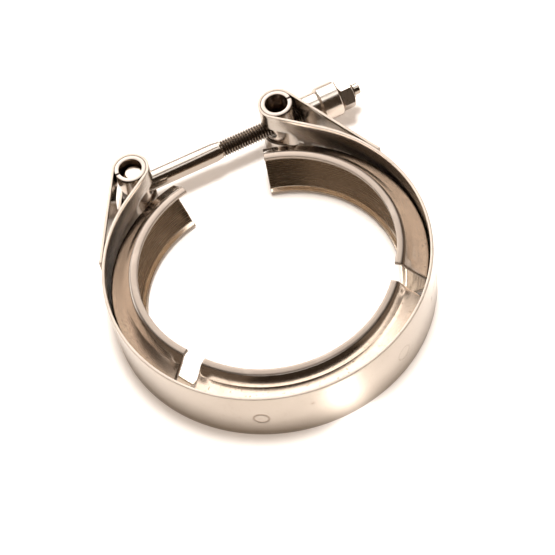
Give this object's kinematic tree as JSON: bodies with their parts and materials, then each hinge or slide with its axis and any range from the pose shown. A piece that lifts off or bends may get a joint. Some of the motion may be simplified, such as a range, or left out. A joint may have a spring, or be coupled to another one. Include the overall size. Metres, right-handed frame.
{
  "type": "v band clamp",
  "caption": "V-groove ring clamp of folded stainless strip with inner V-segments, trunnions, T-bolt, shoulder sleeve and hex nut.",
  "frame": {"origin": "on the ring's axis, at the strip's middle height", "axes": "+Z along the ring's axis, +X along the bolt towards its nut, +Y towards the bolt side"},
  "size_m": [0.1155, 0.1172, 0.0222],
  "materials": {
    "band_steel": "satin rolled stainless strip",
    "segment_steel": "pressed stainless sheet",
    "trunnion_steel": "rolled stainless tube",
    "bolt_steel": "bright drawn bolt steel",
    "sleeve_steel": "turned steel",
    "nut_steel": "machined steel"
  },
  "bodies": {
    "clamp_ring": {"outer_band": "band_steel", "left_segment": "segment_steel", "base_segment": "segment_steel", "right_segment": "segment_steel", "left_trunnion": "trunnion_steel", "right_trunnion": "trunnion_steel", "tee_bolt": "bolt_steel"},
    "sleeve": {"shoulder_sleeve": "sleeve_steel"},
    "nut": {"hex_nut": "nut_steel"}
  },
  "joints": [
    {"name": "sleeve_slide", "type": "slide", "parent": "clamp_ring", "child": "sleeve", "axis": [1, 0, 0], "range_m": [0, 0.004]},
    {"name": "nut_spin", "type": "hinge", "parent": "sleeve", "child": "nut", "pos_m": [0.05236, 0.05565, 0], "axis": [1, 0, 0], "range_deg": [0, 1440]}
  ],
  "couplings": [
    {"joint": "nut_spin", "follows": "sleeve_slide", "rad_per_m": 6283.2}
  ]
}
